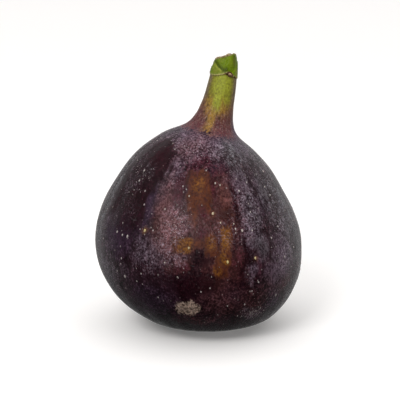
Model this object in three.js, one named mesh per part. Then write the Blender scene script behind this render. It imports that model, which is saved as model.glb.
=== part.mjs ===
// A ripe fresh fig, picked with its stalk and standing on the flat that its weight presses
// into its base. It grew as one piece, so it is one closed solid: the round fruit, the neck,
// the stalk with the ring of scars where three small bracts sat, the slanting cut, and the
// scales that close the eye underneath.
//
// Units are millimetres. +Z is up, the front faces -Y, and the origin is the bottom centre of
// the fig's bounding box, on the plane that it rests on.

import * as THREE from "three";
import { mergeVertices } from "three/addons/utils/BufferGeometryUtils.js";

// Driving dimensions
const girthRadius = 28; // half of the fruit's greatest width
const ringHeight = 68.9; // bract scars, measured up the fig's core line
const ringRadius = 3.56; // stalk just under the scars
const cutHeight = 73.5; // middle of the cut end
const cutRadius = 3.05;
const cutSlope = Math.tan(THREE.MathUtils.degToRad(18)); // the knife went in at a slant
const cutLean = Math.tan(THREE.MathUtils.degToRad(6)); // and a little towards the front
const cutDish = 0.35; // the pith has sunk a little below the rim
const footRadius = 7.5; // flat spot that the fig stands on
const eyeRadius = 3.5; // mouth of the eye, in the middle of the flat spot
const eyeDepth = 1.3;

// Side outline from the edge of the flat spot up to the scars. Each point is a share of
// girthRadius and a share of ringHeight.
const outlineShares = [
  [footRadius / girthRadius, 0],
  [0.371, 0.0107],
  [0.516, 0.032],
  [0.668, 0.058],
  [0.859, 0.138],
  [0.975, 0.239],
  [1, 0.348], // greatest width
  [0.941, 0.457],
  [0.811, 0.566],
  [0.659, 0.66],
  [0.4625, 0.733], // shoulder
  [0.26, 0.784],
  [0.1875, 0.827], // neck
  [0.1525, 0.885],
  [0.138, 0.951],
  [ringRadius / girthRadius, 1],
];

// The fig isn't upright: its cross sections slide sideways and tilt as they climb. Both lists
// run evenly from the base to coreTop.
const coreTop = 76;
const coreShift = [2.06, 0.51, -1.08, -1.35, 0.12, 2.51, 5, 6.3];
const sectionTilt = [0, -2.3, 0.9, 8.8, 15.2, 0]; // degrees, right side down
const tiltStart = 4; // the tilt fades in above this height, so the flat spot stays level
const leanStart = 38; // above this height the neck also leans back
const leanBack = 5; // how far back it reaches at coreTop

// Low relief
const ribCount = 24; // veins under the skin show as shallow grooves from eye to stalk
const ribDepth = 0.36;
const neckRibDepth = 0.12;
const lumpHeight = 0.35;
const ringLip = 0.2; // the old bract bases stand out over the stalk
const ringScallop = 0.6; // how far the scars sag between their three joints
const ringSpread = 5; // the sag dies away over this distance, up and down the stalk
const eyeScales = [
  { reach: 0.36, count: 5, turn: 0.3, rise: 0.62 },
  { reach: 0.64, count: 7, turn: 0.9, rise: 0.42 },
  { reach: 0.92, count: 9, turn: 0.1, rise: 0.22 },
];
const bud = { angle: 0.44, height: 69.3, size: 0.75, rise: 0.5 }; // dried stub of a bract

// Mesh density
const columns = 96;
const rowsPerSpan = 2;
const stubRows = [0.1, 0.25, 0.5, 1.2, 2.1, 3.1, 4]; // distances above the scars

const { clamp, degToRad, lerp, smoothstep } = THREE.MathUtils;

// A smooth curve through evenly spaced values, read at a share from 0 to 1.
function smoothList(values) {
  const curve = new THREE.SplineCurve(values.map((v) => new THREE.Vector2(v, 0)));
  return (share) => curve.getPoint(clamp(share, 0, 1)).x;
}

const shiftAt = smoothList(coreShift);
const tiltAt = smoothList(sectionTilt);

// The turned outline from the eye's centre, out over the foot, up the side and back to the
// middle of the cut, as [radius, height] points.
function turnedOutline() {
  const points = [];
  const addRow = (radius, height) => points.push(new THREE.Vector2(radius, height));

  const eyeRows = 8;
  for (let k = 0; k < eyeRows; k++) {
    addRow((eyeRadius * k) / eyeRows, 0);
  }
  addRow(eyeRadius, 0);
  addRow(lerp(eyeRadius, footRadius, 0.5), 0);

  const side = new THREE.SplineCurve(
    outlineShares.map(([r, h]) => new THREE.Vector2(r * girthRadius, h * ringHeight)),
  );
  points.push(...side.getPoints(rowsPerSpan * (outlineShares.length - 1)));

  for (const above of [...stubRows, cutHeight - ringHeight]) {
    const share = above / (cutHeight - ringHeight);
    addRow(lerp(ringRadius + ringLip, cutRadius, share ** 1.3), ringHeight + above);
  }
  for (const share of [0.9, 0.5, 0]) {
    addRow(cutRadius * share, cutHeight);
  }
  return points;
}

// Grooves between the ribs: narrow, unevenly spaced, deepest on the shoulder. The ribs stand
// out by as much as the grooves sink, so the outline keeps its size.
function ribRelief(angle, height) {
  const uneven = angle + 0.07 * Math.sin(3 * angle + 1.1) + 0.04 * Math.sin(5 * angle + 0.4);
  const groove = (0.5 + 0.5 * Math.cos(ribCount * uneven)) ** 2;
  const strength = 0.65 + 0.35 * Math.sin(2 * angle + 2.4);
  const onBase = smoothstep(height, 0.4, 5) * (1 - smoothstep(height, 8, 20));
  const onShoulder = smoothstep(height, 22, 44) * (1 - smoothstep(height, 49, 57));
  const onNeck = smoothstep(height, 49, 57) * (1 - smoothstep(height, 62, ringHeight));
  const onFruit = smoothstep(height, 0.4, 3) * (1 - smoothstep(height, 50, 57));
  const depth = ribDepth * strength * (0.25 + 0.5 * onBase + 0.75 * onShoulder) * onFruit;
  return (0.38 - groove) * (depth + neckRibDepth * onNeck);
}

// Slow swells that keep the fruit from being perfectly round. None of them shows at the two
// sides, so the front outline stays as it was set out.
function lumpRelief(angle, height) {
  const onFruit = smoothstep(height, 8, 24) * (1 - smoothstep(height, 42, 54));
  const swell = Math.cos(0.06 * height) * Math.sin(2 * angle) +
    0.6 * Math.sin(0.08 * height + 0.6) * Math.cos(3 * angle) +
    0.4 * Math.cos(0.11 * height + 1) * Math.cos(5 * angle);
  return lumpHeight * swell * onFruit;
}

// The scar line hangs from three joints, so the rows near it sag between them.
function ringSag(angle, height) {
  const near = 1 - smoothstep(Math.abs(height - ringHeight), 0, ringSpread);
  return ringScallop * Math.abs(Math.sin(1.5 * (angle - 0.25))) * near;
}

function budRelief(angle, height) {
  const across = (angle - bud.angle) * ringRadius;
  const away = Math.hypot(across, height - bud.height) / bud.size;
  return bud.rise * Math.exp(-2 * away * away);
}

// Rise of the skin inside the eye: a hollow, filled by rings of pointed scales.
function eyeRise(angle, radius) {
  const share = radius / eyeRadius;
  let hollow = eyeDepth * (1 - smoothstep(share, 0.75, 1));
  for (const ring of eyeScales) {
    const lobe = Math.abs(Math.cos((ring.count * (angle - ring.turn)) / 2));
    const tip = ring.reach - 0.3 * lobe; // each scale points to the middle
    const covered = smoothstep(share, tip - 0.06, tip + 0.06);
    hollow = lerp(hollow, Math.min(hollow, eyeDepth * ring.rise), covered);
  }
  return hollow * (1 - smoothstep(share, 0.9, 1));
}

// Moves one point of the turned outline, at an angle round the core line, to its place on the
// fig. The angle is 0 at the front and grows to the right.
function place(angle, outlinePoint) {
  const level = outlinePoint.y;
  const onFoot = level === 0;
  const onCut = level >= cutHeight;
  let radius = outlinePoint.x;
  let height = level;
  if (onFoot) {
    height = radius < eyeRadius ? eyeRise(angle, radius) : 0;
  } else if (!onCut) {
    radius += ribRelief(angle, level) + lumpRelief(angle, level) + budRelief(angle, level);
    height -= ringSag(angle, level);
  }

  const tilt = degToRad(tiltAt(level / coreTop)) * smoothstep(level, 0, tiltStart);
  const lean = clamp((level - leanStart) / (coreTop - leanStart), 0, 1);
  const leanAngle = Math.atan((2 * leanBack * lean) / (coreTop - leanStart));
  const across = radius * Math.sin(angle);
  const towards = -radius * Math.cos(angle);
  const slant = (cutSlope * across + cutLean * towards) *
    smoothstep(level, ringHeight + 0.4, cutHeight);
  const dish = onCut ? cutDish * (1 - radius / cutRadius) : 0;
  const drop = dish + across * Math.sin(tilt) + towards * Math.sin(leanAngle);

  return new THREE.Vector3(
    shiftAt(level / coreTop) + across * Math.cos(tilt),
    leanBack * lean * lean + towards * Math.cos(leanAngle),
    Math.max(0, height + slant - drop),
  );
}

// The closed skin of the fig, welded at its seam and poles, with no collapsed faces.
function figGeometry() {
  const outline = turnedOutline();
  const turned = new THREE.LatheGeometry(outline, columns);
  const position = turned.getAttribute("position");
  for (let k = 0; k < position.count; k++) {
    const column = Math.floor(k / outline.length);
    const point = place((2 * Math.PI * column) / columns, outline[k % outline.length]);
    position.setXYZ(k, point.x, point.y, point.z);
  }
  turned.deleteAttribute("normal");
  turned.deleteAttribute("uv");

  const welded = mergeVertices(turned, 1e-3);
  const corners = welded.index.array;
  const kept = [];
  for (let k = 0; k < corners.length; k += 3) {
    const [a, b, c] = corners.slice(k, k + 3);
    if (a !== b && b !== c && c !== a) {
      kept.push(a, b, c);
    }
  }
  welded.setIndex(kept);

  welded.computeBoundingBox();
  const centre = welded.boundingBox.getCenter(new THREE.Vector3());
  welded.translate(-centre.x, -centre.y, -welded.boundingBox.min.z);
  welded.computeVertexNormals();
  return welded;
}

const skin = new THREE.MeshStandardMaterial({ color: 0x33202e, roughness: 0.45, metalness: 0 });
const fig = new THREE.Mesh(figGeometry(), skin);
fig.name = "fig";

const group = new THREE.Group();
group.add(fig);

export default group;
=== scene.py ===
import math

import bpy
import numpy as np
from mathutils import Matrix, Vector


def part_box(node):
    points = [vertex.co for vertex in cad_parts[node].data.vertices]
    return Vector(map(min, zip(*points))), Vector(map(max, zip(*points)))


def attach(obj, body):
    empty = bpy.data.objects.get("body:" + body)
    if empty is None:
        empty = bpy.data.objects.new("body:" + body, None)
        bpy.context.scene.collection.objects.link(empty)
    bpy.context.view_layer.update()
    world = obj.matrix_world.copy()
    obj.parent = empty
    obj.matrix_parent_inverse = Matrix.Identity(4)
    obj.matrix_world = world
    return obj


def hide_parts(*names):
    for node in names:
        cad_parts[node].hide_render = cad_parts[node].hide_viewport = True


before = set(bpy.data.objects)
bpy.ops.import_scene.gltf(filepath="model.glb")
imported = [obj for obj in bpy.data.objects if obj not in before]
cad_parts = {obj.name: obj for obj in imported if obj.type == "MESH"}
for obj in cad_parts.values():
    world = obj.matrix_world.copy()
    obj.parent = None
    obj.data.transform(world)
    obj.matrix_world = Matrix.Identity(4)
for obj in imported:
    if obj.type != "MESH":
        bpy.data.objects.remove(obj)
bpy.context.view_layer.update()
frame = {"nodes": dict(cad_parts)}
print("frame loaded with nodes:", ", ".join(frame["nodes"]))

mm = 0.001

# A place on the fig is an angle round its core line, 0 at the front and growing to the right, and
# a level, in millimetres up the core line. Tables hold degrees, and functions take radians.

# Shape of the fig in millimetres, with the values of its solid, apart from tipWear.
figShape = {
    "girthRadius": 28.0,
    "ringHeight": 68.9,      # bract scars, up the core line
    "ringRadius": 3.56,
    "cutHeight": 73.5,
    "cutRadius": 3.05,
    "stubTaper": 1.3,
    "cutSlope": 18.0,        # degrees, rising to the right
    "cutLean": 6.0,          # degrees, falling to the front
    "cutDish": 0.35,
    "tipWear": 0.9,          # the highest corner of the cut has worn round
    "footRadius": 7.5,
    "eyeRadius": 3.5,
    "eyeDepth": 1.3,
    "outline": [(7.5 / 28, 0), (0.371, 0.0107), (0.516, 0.032), (0.668, 0.058), (0.859, 0.138),
                (0.975, 0.239), (1, 0.348), (0.941, 0.457), (0.811, 0.566), (0.659, 0.66),
                (0.4625, 0.733), (0.26, 0.784), (0.1875, 0.827), (0.1525, 0.885),
                (0.138, 0.951), (3.56 / 28, 1)],    # shares of girthRadius and ringHeight
    "coreTop": 76.0,
    "coreShift": [2.06, 0.51, -1.08, -1.35, 0.12, 2.51, 5, 6.3],
    "sectionTilt": [0, -2.3, 0.9, 8.8, 15.2, 0],
    "tiltStart": 4.0,
    "leanStart": 38.0,
    "leanBack": 5.0,
}
# Low relief. The ribs are finer than the solid's, and the line of scars sags more.
figRelief = {
    "ribCount": 24,
    "ribDepth": 0.17,
    "neckRibDepth": 0.05,
    "foldDepth": 0.035,
    "swell": 0.10,
    "wrinkle": 0.05,
    "lumpHeight": 0.35,
    "ringScallop": 0.9,
    "ringSpread": 5.0,
    "bractThickness": 0.2,
    # levels between which each kind of relief fades in, and between which it fades out
    "ribsOnBase": (0.4, 5, 8, 20),
    "ribsOnShoulder": (22, 44, 49, 57),
    "ribsOnNeck": (49, 57, 62, 68.9),
    "ribsOnFruit": (0.4, 3, 50, 57),
    "lumps": (8, 24, 42, 54),
    "folds": (46, 53, 56, 64),
    "wrinkles": (1, 5, 60, 66),
    # each bract's middle and half width in degrees, and how far it reaches up the stub
    "bracts": [(-66, 61, 3.3), (92, 60, 3.2), (192.5, 40.5, 2.2)],
    "scar": {"angle": -9.2, "level": 12.6, "halfWidth": 3.6, "halfHeight": 2.9, "sink": 0.14},
    "columns": 448,
    "rowsPerSpan": 11,
}


def smoothStep(x, low, high):
    # 0 below low, 1 above high, and 3t^2 - 2t^3 between, for t from 0 to 1
    t = np.clip((np.asarray(x, float) - low) / (high - low), 0, 1)
    return t * t * (3 - 2 * t)


def between(x, riseLow, riseHigh, fallLow, fallHigh):
    # a smooth step up from the first value to the second, times one down from third to fourth
    return smoothStep(x, riseLow, riseHigh) * (1 - smoothStep(x, fallLow, fallHigh))


def curveThrough(values, share):
    # uniform Catmull-Rom spline: each stretch leaves and enters its ends with half the step
    # between their neighbours
    values = np.asarray(values, float)
    if values.ndim == 1:
        values = values[:, None]
    last = len(values) - 1
    x = np.clip(share, 0, 1) * last
    k = np.minimum(np.floor(x).astype(int), last - 1)
    w = (x - k)[..., None]
    before, start = values[np.maximum(k - 1, 0)], values[k]
    end, after = values[k + 1], values[np.minimum(k + 2, last)]
    leave, enter = (end - before) / 2, (after - start) / 2
    return ((2 * start - 2 * end + leave + enter) * w ** 3
            + (3 * end - 3 * start - 2 * leave - enter) * w ** 2 + leave * w + start)


def wrapAngle(angle):
    # the same angle between -pi and pi
    return (angle + math.pi) % (2 * math.pi) - math.pi


def ringAngles(count):
    # count angles, evenly round a turn
    return np.arange(count) * 2 * math.pi / count


def wrapNoise(angle, level, around, step, seed):
    # random numbers on a grid that closes round the fig, blended with a cosine between the
    # four nearest; around cells in a turn, one row each step millimetres
    rowCount, firstRow = 64, 8
    table = np.random.default_rng(seed).random((around, rowCount))
    x = (angle / (2 * math.pi)) % 1 * around
    y = np.asarray(level, float) / step + firstRow
    x, y = np.broadcast_arrays(x, y)
    i, j = np.floor(x).astype(int), np.floor(y).astype(int)
    u, v = (1 - np.cos(math.pi * (x - i))) / 2, (1 - np.cos(math.pi * (y - j))) / 2
    a, b = i % around, (i + 1) % around
    c, d = j % rowCount, (j + 1) % rowCount
    low = table[a, c] * (1 - u) + table[b, c] * u
    high = table[a, d] * (1 - u) + table[b, d] * u
    return low * (1 - v) + high * v


def sideCurve(count):
    # count points of the outline's spline, as radius and level
    s = figShape
    return curveThrough(np.array(s["outline"]) * [s["girthRadius"], s["ringHeight"]],
                        np.linspace(0, 1, count))


def outlineTable():
    # radius against level of the turned side: the outline's spline, then the stub, whose
    # radius falls from the ring to the cut as the stubTaper power of the share climbed
    s = figShape
    share = np.linspace(0.004, 1, 90)
    stub = np.stack([s["ringRadius"] + (s["cutRadius"] - s["ringRadius"]) * share ** s["stubTaper"],
                     s["ringHeight"] + (s["cutHeight"] - s["ringHeight"]) * share], 1)
    return np.vstack([sideCurve(1501), stub])


sideTable = outlineTable()


def sideRadius(level):
    # radius of the turned side at a level, on straight lines between the table's rows
    return np.interp(level, sideTable[:, 1], sideTable[:, 0])


def ribRelief(angle, level):
    # squared cosine grooves at 24 uneven angles, balanced so that their mean is nothing
    r = figRelief
    uneven = angle + 0.07 * np.sin(3 * angle + 1.1) + 0.04 * np.sin(5 * angle + 0.4)
    groove = (0.5 + 0.5 * np.cos(r["ribCount"] * uneven)) ** 2
    strength = 0.65 + 0.35 * np.sin(2 * angle + 2.4)
    fruitShare = (0.25 + 0.5 * between(level, *r["ribsOnBase"])
                  + 0.75 * between(level, *r["ribsOnShoulder"])) * between(level, *r["ribsOnFruit"])
    neckShare = between(level, *r["ribsOnNeck"])
    return (0.38 - groove) * (r["ribDepth"] * strength * fruitShare + r["neckRibDepth"] * neckShare)


def lumpRelief(angle, level):
    # three slow waves round the fruit, of 2, 3 and 5 swells, each changing with height
    swell = (np.cos(0.06 * level) * np.sin(2 * angle)
             + 0.6 * np.sin(0.08 * level + 0.6) * np.cos(3 * angle)
             + 0.4 * np.cos(0.11 * level + 1) * np.cos(5 * angle))
    return figRelief["lumpHeight"] * swell * between(level, *figRelief["lumps"])


def bractCover(angle, level):
    # 1 on the three pressed bracts above the ring: each is a low pointed arch
    above = level - figShape["ringHeight"]
    cover = np.zeros(np.broadcast(angle, level).shape)
    for middle, half, reach in figRelief["bracts"]:
        away = np.abs(np.degrees(wrapAngle(angle - math.radians(middle)))) / half
        top = reach * np.clip(1 - away, 0, 1) ** 0.8 + 0.35
        cover = np.maximum(cover, np.where(away < 1, 1 - smoothStep(above - top, -0.25, 0.05), 0))
    lip = 1 - smoothStep(above, 0.25, 0.6)
    return np.maximum(cover, lip) * (level > figShape["ringHeight"] + 1e-6)


def scarField(angle, level):
    # 1 in the middle of the healed rub, falling to 0 at an outline that two waves make uneven
    scar = figRelief["scar"]
    across = wrapAngle(angle - math.radians(scar["angle"])) * sideRadius(level) / scar["halfWidth"]
    up = (level - scar["level"]) / scar["halfHeight"]
    turn = np.arctan2(up, across)
    reach = 1 + 0.10 * np.sin(2 * turn + 0.9) + 0.09 * np.sin(5 * turn + 2)
    return np.clip(1 - np.hypot(across, up) / reach, 0, 1)


def scarRelief(angle, level):
    # a low rim round the healed rub, and a shallow floor inside it
    scar = scarField(angle, level)
    return figRelief["scar"]["sink"] * (0.5 * smoothStep(scar, 0, 0.12) - smoothStep(scar, 0.1, 0.4))


def neckFolds(angle, level):
    # fine lengthwise wrinkles where the fruit draws in to the stalk: a folded sine wave that
    # drifts sideways as it climbs
    wave = np.abs(np.sin(11 * angle + 2.6 * np.sin(0.35 * level + 2 * angle) + np.sin(5 * angle)))
    uneven = 0.3 + 1.4 * wrapNoise(angle, level, 18, 4, 7)
    return figRelief["foldDepth"] * between(level, *figRelief["folds"]) * (wave - 0.6) * uneven


def fineWrinkles(angle, level):
    # random swells of two sizes, which die away on the base and towards the scars
    r = figRelief
    swell = wrapNoise(angle, level, 60, 3.5, 5) - 0.5
    wrinkle = wrapNoise(angle, level, 160, 1.8, 6) - 0.5
    return between(level, *r["wrinkles"]) * (r["swell"] * swell + r["wrinkle"] * wrinkle)


def skinRelief(angle, level):
    # how far the skin stands out from the turned side: the sum of every kind of relief
    kinds = (ribRelief, lumpRelief, neckFolds, scarRelief, fineWrinkles)
    return (sum(kind(angle, level) for kind in kinds)
            + figRelief["bractThickness"] * bractCover(angle, level))


def ringSag(angle, level):
    # a folded sine wave with three joints, which dies away over ringSpread
    near = 1 - smoothStep(np.abs(level - figShape["ringHeight"]), 0, figRelief["ringSpread"])
    return figRelief["ringScallop"] * np.abs(np.sin(1.5 * (angle - 0.25))) * near


figOffset = np.zeros(3)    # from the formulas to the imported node; set once the skin's box is known


def placeOnFig(angle, radius, level, height, dish=0.0):
    # a point at an angle and radius in the section at a level: the section is tilted to the
    # right and back, slid along the core line, and the top ones are sheared to the cut
    s = figShape
    share, leanRun = level / s["coreTop"], s["coreTop"] - s["leanStart"]
    tilt = np.radians(curveThrough(s["sectionTilt"], share)[..., 0]) \
        * smoothStep(level, 0, s["tiltStart"])
    lean = np.clip((level - s["leanStart"]) / leanRun, 0, 1)
    leanAngle = np.arctan(2 * s["leanBack"] * lean / leanRun)
    across, towards = radius * np.sin(angle), -radius * np.cos(angle)
    slant = (math.tan(math.radians(s["cutSlope"])) * across
             + math.tan(math.radians(s["cutLean"])) * towards)
    slant = (slant - s["tipWear"] * smoothStep(slant, 0.5, 1.15)) \
        * smoothStep(level, s["ringHeight"] + 0.4, s["cutHeight"])
    x = curveThrough(s["coreShift"], share)[..., 0] + across * np.cos(tilt)
    y = s["leanBack"] * lean * lean + towards * np.cos(leanAngle)
    z = height + slant - dish - across * np.sin(tilt) - towards * np.sin(leanAngle)
    return np.stack(np.broadcast_arrays(x, y, np.maximum(z, 0)), -1) + figOffset


def skinAt(angle, level, out=0.0):
    # the point of the skin at an angle and a level on its side, moved out by a distance
    radius = sideRadius(level) + skinRelief(angle, level)
    point = placeOnFig(angle, radius, level, level - ringSag(angle, level))
    if np.any(out):
        point = point + skinNormal(angle, level) * np.asarray(out, float)[..., None]
    return point


def skinNormal(angle, level):
    # across the two directions in which the skin runs, each found from a small step
    a, h = 0.01, 0.25
    around = skinAt(angle + a, level) - skinAt(angle - a, level)
    along = skinAt(angle, level + h) - skinAt(angle, np.maximum(level - h, 0.02))
    normal = np.cross(around, along)
    return normal / np.maximum(np.linalg.norm(normal, axis=-1, keepdims=True), 1e-9)


def skinRows():
    # the rows of the closed skin from the middle of the eye to the middle of the cut: radius,
    # level, rise above it, dish, and 1 where the row has relief and sag
    s, r = figShape, figRelief
    eye = [(s["eyeRadius"] * share, 0, s["eyeDepth"] * (1 - smoothStep(share, 0.55, 1)), 0, 0)
           for share in np.linspace(0, 1, 11)[:-1]]
    foot = [(radius, 0, 0, 0, 0) for radius in (s["eyeRadius"], (s["eyeRadius"] + s["footRadius"]) / 2)]
    side = [(radius, level, 0, 0, level > 0)
            for radius, level in sideCurve((len(s["outline"]) - 1) * r["rowsPerSpan"] + 1)]
    stubLevels = s["ringHeight"] + np.concatenate([[0.03, 0.09, 0.16, 0.25, 0.35],
                                                   np.linspace(0.5, 3.9, 20)])
    stub = [(sideRadius(level), level, 0, 0, 1) for level in stubLevels]
    softRim = [(s["cutRadius"] * share, s["cutHeight"] - drop, 0, 0, 0) for drop, share in
               ((0.55, 1.01), (0.36, 0.99), (0.2, 0.955), (0.08, 0.91), (0.02, 0.87))]
    cut = [(s["cutRadius"] * share, s["cutHeight"], 0,
            s["cutDish"] * smoothStep(1 - share, 0.1, 0.3), 0)
           for share in (0.83, 0.78, 0.6, 0.4, 0.2, 0)]
    return np.array([*eye, *foot, *side, *stub, *softRim, *cut], float)


def skinGrid():
    # angle, level and point at each row and column of the skin
    radius, level, rise, dish, dressed = skinRows().T[..., None]
    angles, levels = np.broadcast_arrays(ringAngles(figRelief["columns"]), level)
    radii = radius + dressed * skinRelief(angles, levels)
    heights = levels + rise - dressed * ringSag(angles, levels)
    return angles, levels, placeOnFig(angles, radii, levels, heights, dish)


skinAngles, skinLevels, skinPoints = skinGrid()
skinLow, skinHigh = skinPoints.min((0, 1)), skinPoints.max((0, 1))
boxLow, boxHigh = (np.array(corner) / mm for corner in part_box("fig"))
figOffset = (boxLow + boxHigh) / 2 - (skinLow + skinHigh) / 2
figOffset[2] = boxLow[2] - skinLow[2]
skinPoints = skinPoints + figOffset
print("shape worked out; moved by", np.round(figOffset, 3), "mm")


def gridFaces(rows, columns, joinRows=False, joinColumns=True):
    # quads between neighbouring rows and columns, wound so that they face outwards
    i, j = np.meshgrid(np.arange(rows if joinRows else rows - 1),
                       np.arange(columns if joinColumns else columns - 1), indexing="ij")
    nextRow, nextColumn = (i + 1) % rows, (j + 1) % columns
    return np.stack([i * columns + j, i * columns + nextColumn, nextRow * columns + nextColumn,
                     nextRow * columns + j], -1).reshape(-1, 4)


def cappedFaces(rows, columns):
    # the same, closed by two fans: to the point after the grid's, from the last row, and to the
    # one after that, from the first row
    ring = np.arange(columns)
    after, last = (ring + 1) % columns, (rows - 1) * columns
    endPoint = np.full(columns, rows * columns)
    return [*gridFaces(rows, columns), *np.stack([last + ring, last + after, endPoint], 1),
            *np.stack([after, ring, endPoint + 1], 1)]


def makePiece(name, points, faces, material):
    # points in millimetres; faces of any number of corners; shaded smooth
    mesh = bpy.data.meshes.new(name)
    mesh.from_pydata((np.asarray(points).reshape(-1, 3) * mm).tolist(), [],
                     [list(map(int, f)) for f in faces])
    mesh.validate()
    mesh.polygons.foreach_set("use_smooth", np.ones(len(mesh.polygons), bool))
    mesh.materials.append(material)
    mesh.update()
    piece = bpy.data.objects.new(name, mesh)
    bpy.context.scene.collection.objects.link(piece)
    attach(piece, "root")
    return piece


def setValues(piece, name, values):
    # one number for each point, which the materials read by its name
    layer = piece.data.attributes.new(name, "FLOAT", "POINT")
    layer.data.foreach_set("value", np.asarray(values, np.float32).ravel())


# Node tools: each adds nodes to a tree and gives their result.
def addNode(tree, kind, inputs=None, **settings):
    # a node of a kind with its settings, and its inputs by name or number
    node = tree.nodes.new(kind)
    for key, value in settings.items():
        setattr(node, key, value)
    for key, value in (inputs or {}).items():
        connect(tree, node.inputs[key], value)
    return node


def connect(tree, socket, value):
    # links an output to the input, or sets a constant on it; a colour gets an alpha of 1
    if isinstance(value, bpy.types.NodeSocket):
        tree.links.new(value, socket)
    elif isinstance(value, tuple) and len(value) == 3 and socket.type == "RGBA":
        socket.default_value = (*value, 1)
    else:
        socket.default_value = value


def calc(tree, operation, *values, clamp=False):
    # the operation on the values; clamp keeps the result between 0 and 1
    node = addNode(tree, "ShaderNodeMath", operation=operation, use_clamp=clamp)
    for k, value in enumerate(values):
        connect(tree, node.inputs[k], value)
    return node.outputs[0]


def product(tree, first, *others):
    # all the values multiplied
    for value in others:
        first = calc(tree, "MULTIPLY", first, value)
    return first


def addTo(tree, base, value, weight, clamp=False):
    # base plus weight times value
    return calc(tree, "MULTIPLY_ADD", value, weight, base, clamp=clamp)


def mixed(tree, first, share, second):
    # share of the first noise, and what is left of the second
    return addTo(tree, product(tree, second, 1 - share), first, share)


def centred(tree, noise):
    # the noise less 0.5
    return calc(tree, "SUBTRACT", noise, 0.5)


def blend(tree, factor, first, second, how="MIX"):
    # factor of the second colour and what is left of the first, unless told otherwise
    node = addNode(tree, "ShaderNodeMix", data_type="RGBA", blend_type=how, clamp_factor=True)
    for k, value in ((0, factor), (6, first), (7, second)):
        connect(tree, node.inputs[k], value)
    return node.outputs[2]


def spread(tree, value, low, high, toLow=0.0, toHigh=1.0, soft=True):
    # carries low to toLow and high to toHigh, smoothly unless told otherwise, and stops there
    node = addNode(tree, "ShaderNodeMapRange", {"Value": value, "From Min": low, "From Max": high,
                                                "To Min": toLow, "To Max": toHigh}, clamp=True,
                   interpolation_type="SMOOTHSTEP" if soft else "LINEAR")
    return node.outputs["Result"]


def valueOf(tree, name):
    # the numbers that setValues stored
    return addNode(tree, "ShaderNodeAttribute", attribute_name=name).outputs["Fac"]


def millimetres(tree):
    # the object's own coordinates, in millimetres
    place = addNode(tree, "ShaderNodeTexCoord").outputs["Object"]
    return addNode(tree, "ShaderNodeVectorMath", {0: place, "Scale": 1 / mm},
                   operation="SCALE").outputs[0]


def newGroup(name, vector, values, results):
    # a shader group with a vector input, if it is named, float inputs with their usual values,
    # and float outputs; gives its tree and the sockets of its two ends
    tree = bpy.data.node_groups.new(name, "ShaderNodeTree")
    if vector:
        tree.interface.new_socket(vector, in_out="INPUT", socket_type="NodeSocketVector")
    for label, value in values.items():
        socket = tree.interface.new_socket(label, in_out="INPUT", socket_type="NodeSocketFloat")
        socket.default_value = value
    for label in results:
        tree.interface.new_socket(label, in_out="OUTPUT", socket_type="NodeSocketFloat")
    return tree, tree.nodes.new("NodeGroupInput").outputs, tree.nodes.new("NodeGroupOutput").inputs


def useGroup(tree, group, inputs):
    # the outputs of a group whose inputs are given by name
    node = addNode(tree, "ShaderNodeGroup", node_tree=group)
    for key, value in inputs.items():
        connect(tree, node.inputs[key], value)
    return node.outputs


def squeezedNoise(tree, vector, squeeze, scale, contrast, detail, roughness, distortion=0.0):
    # noise on a vector whose third part is multiplied by squeeze, pushed apart from 0.5
    factors = addNode(tree, "ShaderNodeCombineXYZ", {"X": 1.0, "Y": 1.0, "Z": squeeze}).outputs[0]
    place = addNode(tree, "ShaderNodeVectorMath", {0: vector, 1: factors},
                    operation="MULTIPLY").outputs[0]
    noise = addNode(tree, "ShaderNodeTexNoise", {"Vector": place, "Scale": scale, "Detail": detail,
                                                 "Roughness": roughness, "Distortion": distortion})
    return addTo(tree, 0.5, centred(tree, noise.outputs["Fac"]), contrast, clamp=True)


def makeGrain():
    # mottle of one size, drawn out upwards by Stretch
    tree, given, result = newGroup("skinGrain", "Vector",
                                   {"Size": 1.0, "Stretch": 1.0, "Contrast": 1.5}, ["Value"])
    value = squeezedNoise(tree, given["Vector"], calc(tree, "DIVIDE", 1.0, given["Stretch"]),
                          calc(tree, "DIVIDE", 1.0, given["Size"]), given["Contrast"], 3.0, 0.6)
    connect(tree, result["Value"], value)
    return tree


def makeStreaks():
    # noise that changes quickly round the fig and slowly up it: veins that run to the stalk
    tree, given, result = newGroup("meridianStreaks", "Flow",
                                   {"Count": 12.0, "Length": 1.0, "Contrast": 1.5}, ["Value"])
    slow = calc(tree, "DIVIDE", 1.0, product(tree, given["Length"], given["Count"]))
    value = squeezedNoise(tree, given["Flow"], slow, given["Count"], given["Contrast"], 2.0, 0.5, 0.15)
    connect(tree, result["Value"], value)
    return tree


def makeDots():
    # small round dots at the scattered points of a cell pattern; Chance of the cells have one
    tree, given, result = newGroup("lenticelDots", "Vector",
                                   {"Spacing": 2.0, "Radius": 0.3, "Chance": 0.5}, ["Mask", "Tone"])
    cells = addNode(tree, "ShaderNodeTexVoronoi", {
        "Vector": given["Vector"], "Scale": calc(tree, "DIVIDE", 1.0, given["Spacing"])})
    parts = addNode(tree, "ShaderNodeSeparateColor", {"Color": cells.outputs["Color"]}).outputs
    away = product(tree, cells.outputs["Distance"], given["Spacing"])
    size = product(tree, given["Radius"], spread(tree, parts[1], 0, 1, 0.45, 1, False))
    dot = calc(tree, "SUBTRACT", 1.0, calc(tree, "DIVIDE", away, size), clamp=True)
    here = calc(tree, "LESS_THAN", parts[0], given["Chance"])
    connect(tree, result["Mask"], product(tree, spread(tree, dot, 0.0, 0.5), here))
    connect(tree, result["Tone"], parts[2])
    return tree


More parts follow.
